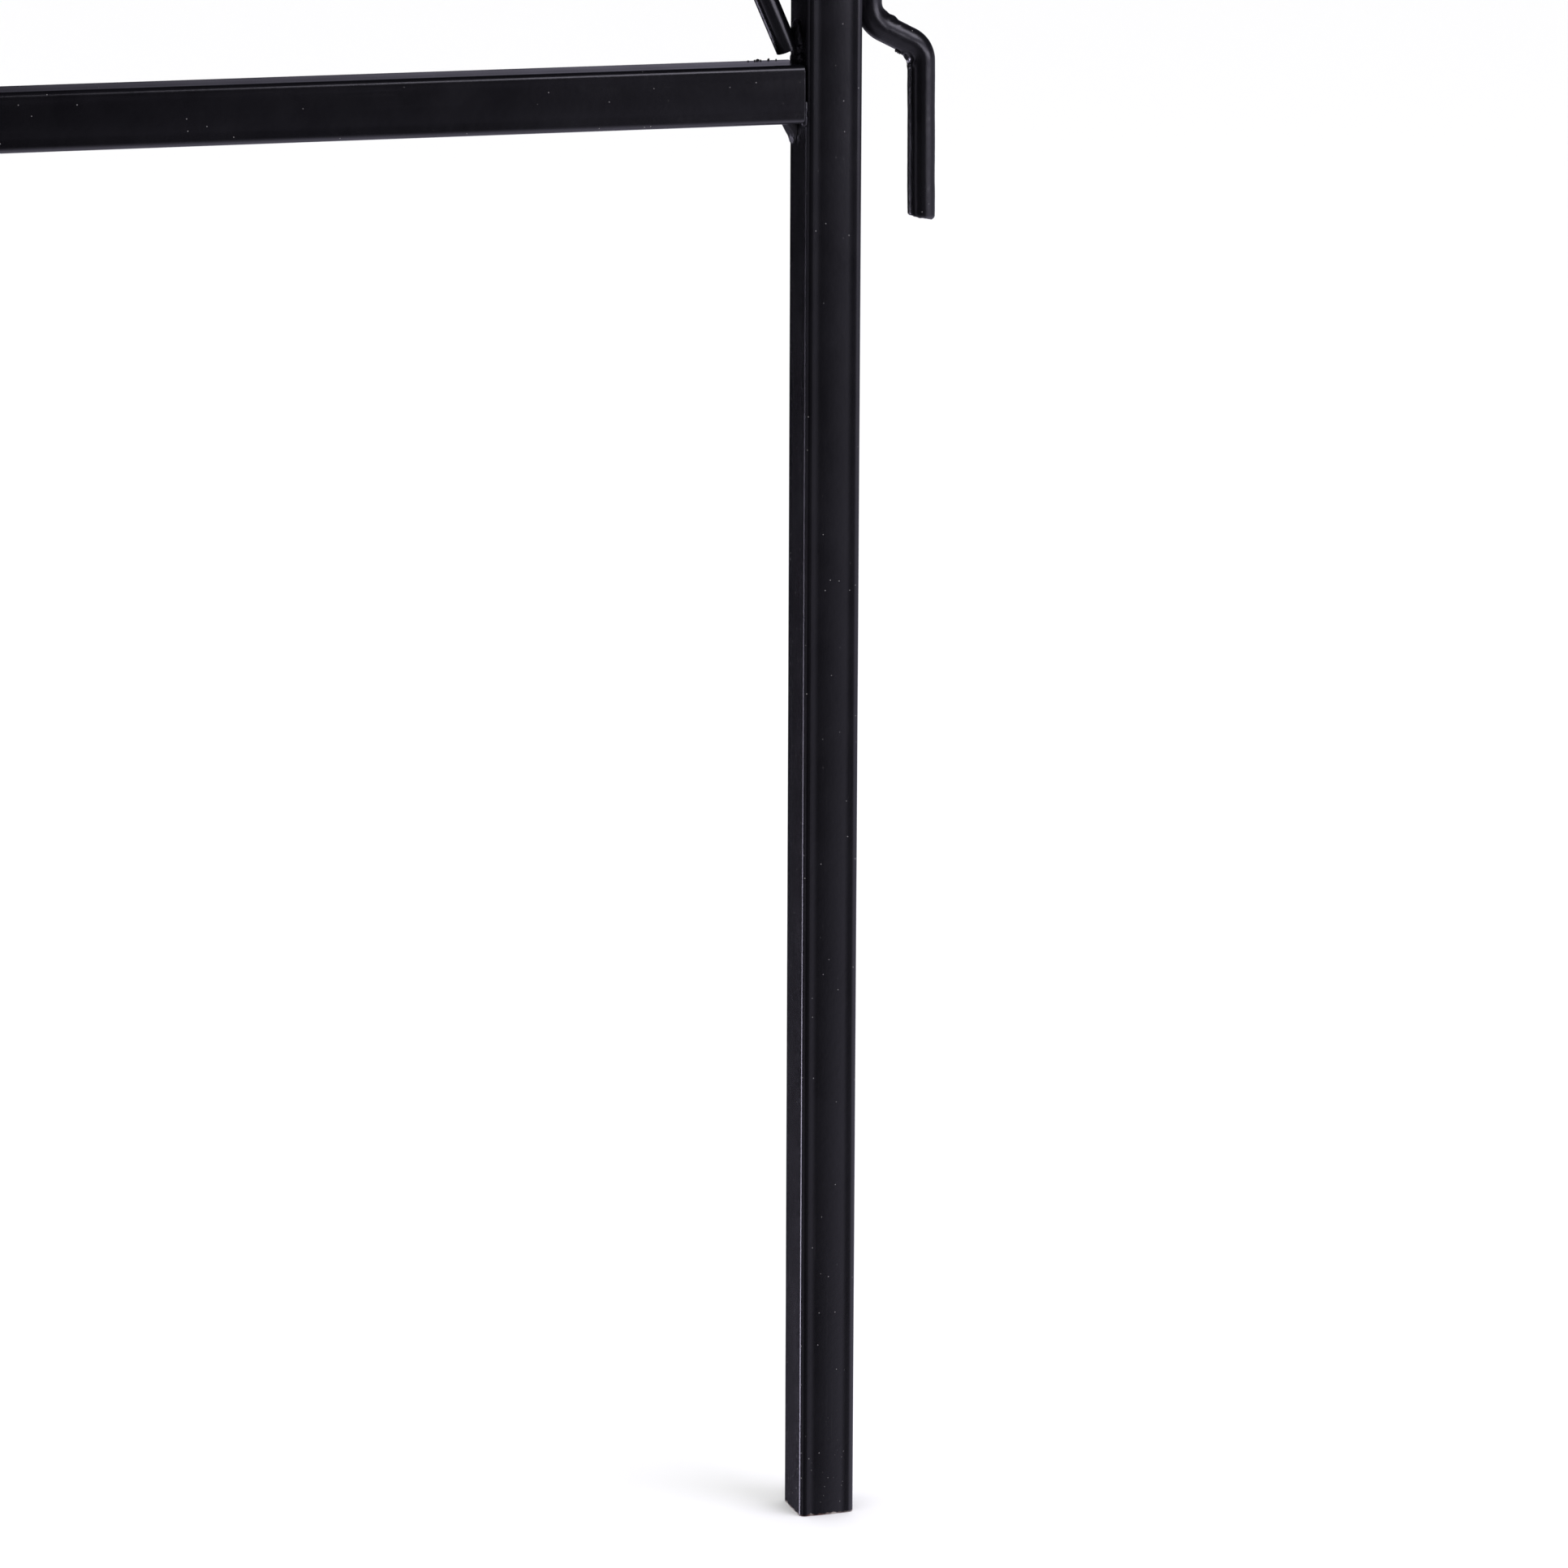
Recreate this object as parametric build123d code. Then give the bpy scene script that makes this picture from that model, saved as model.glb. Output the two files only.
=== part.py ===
"""Knock-down hanging file rack of welded square tube and round rod, in millimetres.

Three welded units drop together with hooks and eyes: a front frame on two legs, a horizontal
file frame that carries the hanging files, and a rear stand on one central leg.
X runs along the width, -Y is the front and +Z is up.
"""
from build123d import *

from math import atan2, cos, radians, sin, tan
import os

# Stock
TUBE = 22.0             # outer side of the square tube
WALL = 1.2
CORNER = 3.0            # outer corner radius of the tube
HOOK_ROD = 10.4         # 10 mm rod under its coat
BRACE_ROD = 8.5         # 8 mm rod under its coat
RAIL_THICK = 3.0        # flat bar that the files hang on
RAIL_DEEP = 20.0
RAIL_EDGE = 0.6

# Front frame, measured from its middle plane
POST_X = 329.0          # axis of each post from the middle of the rack
HEIGHT = 860.0
LEG_CLEAR = 539.0       # floor to the underside of the bottom rail
BRACE_LEAN = 23.8       # degrees from vertical
BRACE_END_IN = 4.1      # brace's lower end, from the post's inner face
BRACE_END_UP = 4.5      # brace's lower end, above the bottom rail

# Coupling hook on the outer face of the right post
HOOK_JOG_TOP = 576.0    # height of the upper corner of the jog
HOOK_JOG_BOTTOM = 563.0
HOOK_JOG_OUT = 21.4     # sideways step of the jog
HOOK_BEND = 9.6         # centreline bend radius
HOOK_RUN_TOP = 626.0
HOOK_TIP = 501.5
HOOK_PITCH = 210.0      # lower hook to upper hook

# Eyes: short sleeves that the hook pins drop into
EYE_OUTER = 8.0         # radius
EYE_BORE = 5.6          # radius
EYE_LENGTH = 25.0
COUPLING_EYE_TOP = 557.0

# File frame
FILE_GAUGE = 330.0      # between the file rails, for A4 suspension files
FRONT_FILE_RAIL = 34.0  # front file rail, behind the middle plane of the front frame
SIDE_BAR_FRONT = 15.0
SIDE_BAR_OVER = 14.0    # side bar's end, past the rear pins
REAR_PIN_IN = 2.0       # rear pins, in front of the rear file rail
FILE_HOOK_BEND = 15.0
FILE_HOOK_RUN = 60.0    # straight run welded under the side bar
FILE_HOOK_PIN = 48.0    # straight length of the pin
SHOULDER_GAP = 0.5      # eye's top edge to the start of the bend

# Rear stand
REAR_BRACE_LOW = 560.0
REAR_BRACE_OUT = 180.0

# Plastic end caps
CAP_THICK = 2.0
CAP_PLUG = 14.0
CAP_SLACK = 0.1
CAP_ROUND = 1.2
CAP_SKIN = 2.0          # wall of the hollow plug

# Weld beads
WELD_LEG = 4.5          # leg of a fillet between two tubes
GROOVE = 3.0            # depth of a bead beside a rod or sleeve on a flat face
RUN_WELD = 30.0         # length of the weld along a hook's run
RAIL_WELD = 12.0        # length of the weld down a file rail's end

half = TUBE / 2
front_pin_y = half + EYE_OUTER
rear_pin_y = FRONT_FILE_RAIL + FILE_GAUGE - REAR_PIN_IN
side_bar_rear = rear_pin_y + SIDE_BAR_OVER
rear_y = rear_pin_y + EYE_OUTER + half
bar_under = HEIGHT - TUBE
file_eye_top = bar_under - HOOK_ROD / 2 - FILE_HOOK_BEND - SHOULDER_GAP
file_eye_bottom = file_eye_top - EYE_LENGTH
head_bar_z = file_eye_top - EYE_LENGTH / 2
head_bar_under = head_bar_z - half
rail_end = POST_X - half
hook_pin_x = POST_X + half + HOOK_ROD / 2 + HOOK_JOG_OUT
eye_x = POST_X + half + EYE_OUTER

# The finished outline, whose bottom centre is the part's origin
outline_x = (-(eye_x + EYE_OUTER), hook_pin_x + HOOK_ROD / 2)
outline_y = (-half, rear_y + half)
TO_ORIGIN = Location((-sum(outline_x) / 2, -sum(outline_y) / 2, 0))

parts = {}


def square_tube(start, direction, length):
    """A length of square tube, open at both ends."""
    outer = RectangleRounded(TUBE, TUBE, CORNER)
    inner = RectangleRounded(TUBE - 2 * WALL, TUBE - 2 * WALL, CORNER - WALL)
    across = (1, 0, 0) if direction[0] == 0 else (0, 1, 0)
    plane = Plane(origin=start, x_dir=across, z_dir=direction)
    return extrude(plane * (outer - inner), length)


def rod(path, diameter):
    """Round rod along a path that starts at its first end."""
    section = Plane(origin=path @ 0, z_dir=path % 0) * Circle(diameter / 2)
    return sweep(section, path=path)


def straight_rod(start, end, diameter):
    return rod(Line(start, end), diameter)


def eye(x, y, top):
    """A short sleeve standing upright below the height top."""
    plane = Plane.XY.offset(top - EYE_LENGTH).move(Location((x, y, 0)))
    return extrude(plane * (Circle(EYE_OUTER) - Circle(EYE_BORE)), EYE_LENGTH)


def end_cap(face_centre, outward):
    """A moulded cap: a square head on the tube's end, and a plug inside the tube."""
    across = (1, 0, 0) if outward[0] == 0 else (0, 1, 0)
    plane = Plane(origin=face_centre, x_dir=across, z_dir=outward)
    head = extrude(RectangleRounded(TUBE, TUBE, CORNER), CAP_THICK)
    top_edges = head.faces().sort_by(Axis.Z)[-1].edges()
    head = fillet(top_edges, CAP_ROUND)
    plug_side = TUBE - 2 * WALL - 2 * CAP_SLACK
    plug = extrude(RectangleRounded(plug_side, plug_side, CORNER - WALL), -CAP_PLUG)
    well_side = plug_side - 2 * CAP_SKIN
    well = Pos(0, 0, -CAP_SKIN / 2) * extrude(Rectangle(well_side, well_side), -CAP_PLUG)
    return plane.location * (head + plug - well)


def fillet_weld(corner, leg_a, leg_b, along, length, leg=WELD_LEG):
    """A three-sided bead in a corner: the legs run along leg_a and leg_b, centred on corner."""
    start = Vector(corner) - Vector(along) * (length / 2)
    outline = Polyline(start, start + Vector(leg_a) * leg, start + Vector(leg_b) * leg, close=True)
    return extrude(make_face(outline), amount=length, dir=along)


def rod_weld(centre, size, holes):
    """A bead that fills a small block around a rod, less the pieces that it joins."""
    bead = Pos(*centre) * Box(*size)
    for hole in holes:
        bead = bead - hole
    return bead


def eye_weld(x, y, z, towards):
    """Beads between an eye and the flat face that lies towards the given X or Y direction."""
    reach = EYE_OUTER - GROOVE / 2
    centre = (x + towards[0] * reach, y + towards[1] * reach, z)
    size = (GROOVE, EYE_OUTER * 1.5, EYE_LENGTH * 0.7)
    if towards[0] == 0:
        size = (EYE_OUTER * 1.5, GROOVE, EYE_LENGTH * 0.7)
    return rod_weld(centre, size, [Pos(x, y, z) * Cylinder(EYE_OUTER, 2 * EYE_LENGTH)])


def jogged_hook(raise_by):
    """The coupling hook: a run on the post's face, a jog outwards and a pin that points down."""
    run_x = POST_X + half + HOOK_ROD / 2
    corners = [
        (run_x, 0, HOOK_RUN_TOP + raise_by),
        (run_x, 0, HOOK_JOG_TOP + raise_by),
        (hook_pin_x, 0, HOOK_JOG_BOTTOM + raise_by),
        (hook_pin_x, 0, HOOK_TIP + raise_by),
    ]
    return rod(FilletPolyline(*corners, radius=HOOK_BEND), HOOK_ROD)


def file_hook(x, pin_y, inward):
    """The file frame's hook: a run under the side bar, one bend, and a pin that points down."""
    run_z = bar_under - HOOK_ROD / 2
    bend_z = run_z - FILE_HOOK_BEND
    corners = [
        (x, pin_y + inward * (FILE_HOOK_BEND + FILE_HOOK_RUN), run_z),
        (x, pin_y, run_z),
        (x, pin_y, bend_z - FILE_HOOK_PIN),
    ]
    return rod(FilletPolyline(*corners, radius=FILE_HOOK_BEND), HOOK_ROD)


def front_brace(side):
    """A round brace that leans in from the bottom corner to the underside of the top rail."""
    low_x = rail_end - BRACE_END_IN
    low_z = LEG_CLEAR + TUBE + BRACE_END_UP
    rise = bar_under - low_z
    high_x = low_x - (rise + BRACE_ROD) * tan(radians(BRACE_LEAN))
    brace = straight_rod((side * low_x, 0, low_z), (side * high_x, 0, bar_under + BRACE_ROD), BRACE_ROD)
    return brace - Pos(0, 0, bar_under + TUBE) * Box(4 * POST_X, TUBE, 2 * TUBE)


def rear_brace(side):
    """A round brace from the rear leg's side up to the head bar."""
    run = REAR_BRACE_OUT - half
    rise = head_bar_under - REAR_BRACE_LOW
    lean = atan2(run, rise)
    over = BRACE_ROD
    low = (side * (half - over * sin(lean)), rear_y, REAR_BRACE_LOW - over * cos(lean))
    high = (side * (REAR_BRACE_OUT + over * sin(lean)), rear_y, head_bar_under + over * cos(lean))
    brace = straight_rod(low, high, BRACE_ROD)
    leg = Pos(0, rear_y, REAR_BRACE_LOW) * Box(TUBE, TUBE, 8 * TUBE)
    bar = Pos(0, rear_y, head_bar_z) * Box(4 * POST_X, TUBE, TUBE)
    return brace - leg - bar


def file_rail(y):
    """Flat bar on edge between the side bars, whose top edge carries the files' hooks."""
    rail = Box(2 * rail_end, RAIL_THICK, RAIL_DEEP)
    rail = fillet(rail.edges().filter_by(Axis.X), RAIL_EDGE)
    return Pos(0, y, HEIGHT + CAP_THICK - RAIL_DEEP / 2) * rail


# Front frame
for name, side in (("right", 1), ("left", -1)):
    parts[f"{name}_post"] = square_tube((side * POST_X, 0, 0), (0, 0, 1), HEIGHT)
    parts[f"{name}_post_cap"] = end_cap((side * POST_X, 0, HEIGHT), (0, 0, 1))
    parts[f"{name}_brace"] = front_brace(side)
    parts[f"{name}_file_eye"] = eye(side * POST_X, front_pin_y, file_eye_top)
for name, z in (("bottom", LEG_CLEAR + half), ("top", HEIGHT - half)):
    parts[f"{name}_rail"] = square_tube((-rail_end, 0, z), (1, 0, 0), 2 * rail_end)
for name, raise_by in (("lower", 0), ("upper", HOOK_PITCH)):
    parts[f"{name}_coupling_hook"] = jogged_hook(raise_by)
    parts[f"{name}_coupling_eye"] = eye(-eye_x, 0, COUPLING_EYE_TOP + raise_by)

# File frame
for name, side in (("right", 1), ("left", -1)):
    bar_length = side_bar_rear - SIDE_BAR_FRONT
    front_end = (side * POST_X, SIDE_BAR_FRONT, HEIGHT - half)
    rear_end = (side * POST_X, side_bar_rear, HEIGHT - half)
    parts[f"{name}_side_bar"] = square_tube(front_end, (0, 1, 0), bar_length)
    parts[f"{name}_side_bar_front_cap"] = end_cap(front_end, (0, -1, 0))
    parts[f"{name}_side_bar_rear_cap"] = end_cap(rear_end, (0, 1, 0))
    parts[f"{name}_front_file_hook"] = file_hook(side * POST_X, front_pin_y, 1)
    parts[f"{name}_rear_file_hook"] = file_hook(side * POST_X, rear_pin_y, -1)
for name, y in (("front", FRONT_FILE_RAIL), ("rear", FRONT_FILE_RAIL + FILE_GAUGE)):
    parts[f"{name}_file_rail"] = file_rail(y)

# Rear stand
head_bar_end = eye_x - EYE_OUTER - CAP_THICK
parts["rear_leg"] = square_tube((0, rear_y, 0), (0, 0, 1), head_bar_under)
parts["head_bar"] = square_tube((-head_bar_end, rear_y, head_bar_z), (1, 0, 0), 2 * head_bar_end)
for name, side in (("right", 1), ("left", -1)):
    parts[f"{name}_rear_brace"] = rear_brace(side)
    parts[f"{name}_rear_eye"] = eye(side * POST_X, rear_pin_y, file_eye_top)
    parts[f"{name}_head_bar_cap"] = end_cap((side * head_bar_end, rear_y, head_bar_z), (side, 0, 0))

# Welds
seam = TUBE - 2 * CORNER
file_eye_mid = file_eye_top - EYE_LENGTH / 2
both_braces = [parts["right_brace"], parts["left_brace"]]

rail_beads = []
brace_beads = []
for side in (1, -1):
    face_x = side * rail_end
    for under in (LEG_CLEAR, bar_under):
        rail_beads.append(fillet_weld((face_x, 0, under), (-side, 0, 0), (0, 0, -1), (0, 1, 0), seam))
    low_end = (face_x - side * BRACE_END_IN / 2, 0, LEG_CLEAR + TUBE + WELD_LEG)
    brace_beads.append(rod_weld(low_end, (BRACE_END_IN, BRACE_ROD, 2 * WELD_LEG), both_braces))

hook_beads = []
eye_beads = []
for level, raise_by in (("lower", 0), ("upper", HOOK_PITCH)):
    run_mid = (HOOK_RUN_TOP + HOOK_JOG_TOP + HOOK_BEND) / 2 + raise_by
    run_face = (POST_X + half + GROOVE / 2, 0, run_mid)
    hook = parts[f"{level}_coupling_hook"]
    hook_beads.append(rod_weld(run_face, (GROOVE, HOOK_ROD + GROOVE, RUN_WELD), [hook]))
    eye_beads.append(eye_weld(-eye_x, 0, COUPLING_EYE_TOP - EYE_LENGTH / 2 + raise_by, (1, 0)))
for side in (1, -1):
    eye_beads.append(eye_weld(side * POST_X, front_pin_y, file_eye_mid, (0, -1)))

file_beads = []
for name, side in (("right", 1), ("left", -1)):
    for rail_y in (FRONT_FILE_RAIL, FRONT_FILE_RAIL + FILE_GAUGE):
        for facing in (1, -1):
            corner = (side * rail_end, rail_y + facing * RAIL_THICK / 2, HEIGHT - half)
            bead = fillet_weld(corner, (-side, 0, 0), (0, facing, 0), (0, 0, 1), RAIL_WELD, WELD_LEG / 2)
            file_beads.append(bead)
    for end, pin_y, inward in (("front", front_pin_y, 1), ("rear", rear_pin_y, -1)):
        run_y = pin_y + inward * (FILE_HOOK_BEND + FILE_HOOK_RUN / 2)
        run_mid = (side * POST_X, run_y, bar_under - GROOVE / 2)
        hook = parts[f"{name}_{end}_file_hook"]
        file_beads.append(rod_weld(run_mid, (HOOK_ROD + GROOVE, RUN_WELD, GROOVE), [hook]))

rear_beads = []
for side in (1, -1):
    corner = (side * half, rear_y, head_bar_under)
    rear_beads.append(fillet_weld(corner, (side, 0, 0), (0, 0, -1), (0, 1, 0), seam))
    rear_beads.append(eye_weld(side * POST_X, rear_pin_y, file_eye_mid, (0, 1)))

welds = {
    "rail_welds": rail_beads,
    "brace_welds": brace_beads,
    "hook_welds": hook_beads,
    "eye_welds": eye_beads,
    "file_frame_welds": file_beads,
    "rear_stand_welds": rear_beads,
}
for name, beads in welds.items():
    parts[name] = Compound(children=beads)

os.makedirs("parts", exist_ok=True)
for node, shape in parts.items():
    export_step(TO_ORIGIN * shape, f"parts/{node}.step")
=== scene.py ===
"""Looks for the hanging file rack: satin powder coat, rippled welds, hot-bent hooks and moulded caps."""
import math

import bmesh
import bpy
from mathutils import Euler, Matrix, Vector, noise


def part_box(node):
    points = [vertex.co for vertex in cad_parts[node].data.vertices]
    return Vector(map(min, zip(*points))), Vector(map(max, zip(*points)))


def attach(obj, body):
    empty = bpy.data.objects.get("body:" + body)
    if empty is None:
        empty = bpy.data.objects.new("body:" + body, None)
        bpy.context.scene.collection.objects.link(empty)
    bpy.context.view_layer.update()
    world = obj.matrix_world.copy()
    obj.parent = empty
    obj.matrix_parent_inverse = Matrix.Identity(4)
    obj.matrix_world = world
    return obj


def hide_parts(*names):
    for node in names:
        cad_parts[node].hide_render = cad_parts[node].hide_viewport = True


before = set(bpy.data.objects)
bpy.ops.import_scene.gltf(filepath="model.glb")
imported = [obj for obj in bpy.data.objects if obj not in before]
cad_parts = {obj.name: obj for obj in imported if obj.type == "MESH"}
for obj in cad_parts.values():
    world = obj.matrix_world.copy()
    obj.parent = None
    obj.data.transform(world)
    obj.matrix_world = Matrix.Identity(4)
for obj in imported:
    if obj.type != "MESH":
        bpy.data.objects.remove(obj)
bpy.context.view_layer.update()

MM = 0.001
UP = Vector((0, 0, 1))
FULL_TURN = 2 * math.pi


# ---------------------------------------------------------------- places read from the frame

def low(node):
    return Vector(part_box(node)[0])


def high(node):
    return Vector(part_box(node)[1])


def middle(node):
    return (low(node) + high(node)) / 2


TUBE = high("right_post").x - low("right_post").x
HALF = TUBE / 2
ROD_R = (high("lower_coupling_hook").y - low("lower_coupling_hook").y) / 2
BRACE_R = (high("right_brace").y - low("right_brace").y) / 2
FRAME_Y = middle("right_post").y
REAR_Y = middle("rear_leg").y
SIDES = (("right", 1), ("left", -1))


# ---------------------------------------------------------------- node helpers

class Shader:
    """A small wrapper that adds and links nodes in one material's or world's node tree."""

    def __init__(self, owner):
        owner.use_nodes = True
        self.tree = owner.node_tree
        coordinates = self.add("ShaderNodeTexCoord")
        self.place = coordinates.outputs["Object"]
        self.direction = coordinates.outputs["Generated"]

    def add(self, kind, **settings):
        node = self.tree.nodes.new(kind)
        for key, value in settings.items():
            setattr(node, key, value)
        return node

    def feed(self, socket, value):
        if isinstance(value, bpy.types.NodeSocket):
            self.tree.links.new(value, socket)
        else:
            socket.default_value = value

    def parts(self, vector):
        """The X, Y and Z of a vector, as three sockets."""
        split = self.add("ShaderNodeSeparateXYZ")
        self.feed(split.inputs["Vector"], vector)
        return [split.outputs[axis] for axis in "XYZ"]

    def stretched(self, scale):
        mapping = self.add("ShaderNodeMapping")
        self.feed(mapping.inputs["Vector"], self.place)
        mapping.inputs["Scale"].default_value = scale
        return mapping.outputs["Vector"]

    def noise(self, scale, detail, place=None, roughness=0.5):
        """Noise with about so many features to the metre."""
        node = self.add("ShaderNodeTexNoise")
        self.feed(node.inputs["Vector"], place or self.place)
        node.inputs["Scale"].default_value = scale
        node.inputs["Detail"].default_value = detail
        node.inputs["Roughness"].default_value = roughness
        return node.outputs["Fac"]

    def ramp(self, value, low_end, high_end, to_low=0.0, to_high=1.0):
        node = self.add("ShaderNodeMapRange", clamp=True)
        self.feed(node.inputs["Value"], value)
        node.inputs["From Min"].default_value = low_end
        node.inputs["From Max"].default_value = high_end
        node.inputs["To Min"].default_value = to_low
        node.inputs["To Max"].default_value = to_high
        return node.outputs["Result"]

    def math(self, operation, a, b=0.0):
        node = self.add("ShaderNodeMath", operation=operation)
        self.feed(node.inputs[0], a)
        self.feed(node.inputs[1], b)
        return node.outputs[0]

    def mix(self, factor, a, b):
        node = self.add("ShaderNodeMix", data_type="RGBA")
        self.feed(node.inputs["Factor"], factor)
        self.feed(node.inputs["A"], a)
        self.feed(node.inputs["B"], b)
        return node.outputs["Result"]

    def bump(self, height, strength, distance, normal=None):
        node = self.add("ShaderNodeBump")
        self.feed(node.inputs["Height"], height)
        node.inputs["Strength"].default_value = strength
        node.inputs["Distance"].default_value = distance
        if normal is not None:
            self.feed(node.inputs["Normal"], normal)
        return node.outputs["Normal"]

    def specks(self, scale, size, share):
        """Sparse round dots of uneven strength: a share of the cells of a grid get one dot each."""
        cells = self.add("ShaderNodeTexVoronoi", feature="F1")
        self.feed(cells.inputs["Vector"], self.place)
        cells.inputs["Scale"].default_value = scale
        dot = self.ramp(cells.outputs["Distance"], size * 0.6, size, 1.0, 0.0)
        split = self.add("ShaderNodeSeparateColor")
        self.feed(split.inputs["Color"], cells.outputs["Color"])
        chosen = self.math("LESS_THAN", split.outputs["Red"], share)
        strength = self.ramp(split.outputs["Green"], 0.1, 1.0, 0.15, 1.0)
        return self.math("MULTIPLY", self.math("MULTIPLY", dot, strength), chosen)


# ---------------------------------------------------------------- materials

COAT_DARK = (0.0015, 0.0014, 0.0020, 1)
COAT_LIGHT = (0.0026, 0.0024, 0.0034, 1)
SCRATCHED = (0.02, 0.02, 0.023, 1)
DUST = (0.42, 0.41, 0.40, 1)
DUST_COVER = 0.75            # how much of the coat's colour a speck hides
RUST = (0.085, 0.034, 0.020, 1)
BARE_STEEL = (0.30, 0.27, 0.25, 1)
FLOOR_RIM = 1.3 * MM         # height of the worn rim at a leg's sawn end
FOOT_DUST_TOP = 45 * MM      # the dust off the floor thins out up to here
PLASTIC_DARK = (0.0125, 0.0125, 0.0135, 1)
PLASTIC_LIGHT = (0.019, 0.019, 0.0198, 1)


def powder_coat(name, roughness=0.22, peel=0.10, worn_foot=False, scratch_axis=None):
    """Satin black powder coat: orange peel, fine grain, cloudy gloss, dust specks and light scratches."""
    material = bpy.data.materials.new(name)
    s = Shader(material)
    bsdf = s.tree.nodes["Principled BSDF"]
    color = s.mix(s.ramp(s.noise(22, 3), 0.35, 0.65), COAT_DARK, COAT_LIGHT)
    gloss = s.ramp(s.noise(60, 4), 0.3, 0.7, roughness - 0.03, roughness + 0.03)
    dust = s.specks(300, 0.066, 0.45)
    if worn_foot:
        height = s.parts(s.place)[2]
        low_down = s.ramp(height, 0.0, FOOT_DUST_TOP, 1.0, 0.0)
        floor_dust = s.math("MULTIPLY", s.specks(430, 0.110, 0.90), low_down)
        dust = s.math("MAXIMUM", dust, floor_dust)
    color = s.mix(s.math("MULTIPLY", dust, DUST_COVER), color, DUST)
    if scratch_axis is not None:
        # fine across the tube and long along it, in patches
        scale = [900.0, 900.0, 900.0]
        scale[scratch_axis] = 14.0
        streaks = s.ramp(s.noise(1.0, 3, s.stretched(scale), 0.6), 0.60, 0.72)
        scratches = s.math("MULTIPLY", streaks, s.ramp(s.noise(9, 2), 0.52, 0.66))
        gloss = s.math("ADD", gloss, s.math("MULTIPLY", scratches, 0.07))
        color = s.mix(s.math("MULTIPLY", scratches, 0.12), color, SCRATCHED)
    if worn_foot:
        ragged = s.math("MULTIPLY", s.noise(420, 3), 1.6 * FLOOR_RIM)
        worn = s.ramp(s.math("ADD", height, ragged), FLOOR_RIM, 1.5 * FLOOR_RIM, 1.0, 0.0)
        metal = s.mix(s.ramp(s.noise(300, 4), 0.42, 0.6), RUST, BARE_STEEL)
        color = s.mix(worn, color, metal)
        gloss = s.math("ADD", gloss, s.math("MULTIPLY", worn, 0.25))
    s.feed(bsdf.inputs["Base Color"], color)
    s.feed(bsdf.inputs["Roughness"], gloss)
    bsdf.inputs["Specular IOR Level"].default_value = 0.5
    peel_bump = s.bump(s.noise(420, 2), peel, 0.25 * MM)
    grain_bump = s.bump(s.noise(2600, 2), 0.10, 0.08 * MM, peel_bump)
    s.feed(bsdf.inputs["Normal"], s.bump(dust, 0.6, 0.12 * MM, grain_bump))
    return material


def moulded_plastic(name):
    """Polyethylene cap: fine spark-eroded grain and a softer, greyer black than the coat."""
    material = bpy.data.materials.new(name)
    s = Shader(material)
    bsdf = s.tree.nodes["Principled BSDF"]
    s.feed(bsdf.inputs["Base Color"], s.mix(s.ramp(s.noise(90, 3), 0.35, 0.65), PLASTIC_DARK, PLASTIC_LIGHT))
    s.feed(bsdf.inputs["Roughness"], s.ramp(s.noise(240, 3), 0.3, 0.7, 0.50, 0.62))
    bsdf.inputs["Specular IOR Level"].default_value = 0.4
    coarse = s.bump(s.noise(1500, 3), 0.35, 0.10 * MM)
    s.feed(bsdf.inputs["Normal"], s.bump(s.noise(5200, 1), 0.20, 0.04 * MM, coarse))
    return material


coat_upright = powder_coat("coat_upright", worn_foot=True, scratch_axis=2)
coat_across = powder_coat("coat_across", scratch_axis=0)
coat_deep = powder_coat("coat_deep", scratch_axis=1)
coat_rod = powder_coat("coat_rod", roughness=0.25, peel=0.14)
coat_weld = powder_coat("coat_weld", roughness=0.27, peel=0.30)
cap_plastic = moulded_plastic("cap_plastic")


def cad_material(node):
    """The material for a CAD node that stays in view."""
    if node.endswith("_cap"):
        return cap_plastic
    if node.endswith("_rail"):
        return coat_across
    return coat_rod


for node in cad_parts:
    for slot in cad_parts[node].material_slots:
        slot.material = cad_material(node)


# ---------------------------------------------------------------- mesh helpers

def piece(name, mesh_maker, body, stands_for, material):
    """Makes one mesh object from a bmesh, rides it on a body and stands it in for a CAD node."""
    bm = bmesh.new()
    mesh_maker(bm)
    bmesh.ops.recalc_face_normals(bm, faces=bm.faces)
    mesh = bpy.data.meshes.new(name)
    bm.to_mesh(mesh)
    bm.free()
    for face in mesh.polygons:
        face.use_smooth = True
    mesh.materials.append(material)
    made = bpy.data.objects.new(name, mesh)
    bpy.context.scene.collection.objects.link(made)
    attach(made, body)
    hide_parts(stands_for)
    return made


def round_and_round(items):
    """Each item of a closed ring with the one after it."""
    return zip(items, items[1:] + items[:1])


def wall(bm, rings):
    """Faces between each ring of vertices and the next."""
    for a, b in zip(rings, rings[1:]):
        for (a1, a2), (b1, b2) in zip(round_and_round(a), round_and_round(b)):
            bm.faces.new((a1, a2, b2, b1))


def skin(bm, rings):
    """Joins rings of points into a closed tube, whose ends close on their own middle points."""
    made = [[bm.verts.new(p) for p in ring] for ring in rings]
    wall(bm, made)
    for ring in (made[0], made[-1]):
        tip = bm.verts.new(sum((v.co for v in ring), Vector()) / len(ring))
        for one, other in round_and_round(ring):
            bm.faces.new((one, other, tip))


def directions(count, side, other):
    """Unit vectors all round, in the plane of side and other."""
    angles = [FULL_TURN * i / count for i in range(count)]
    return [side * math.cos(angle) + other * math.sin(angle) for angle in angles]


BEAD_SIDES = 26
BEAD_STEP = 0.30 * MM
BEAD_WAVE = 0.075        # height of the ripples on a bead, in radii


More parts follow.
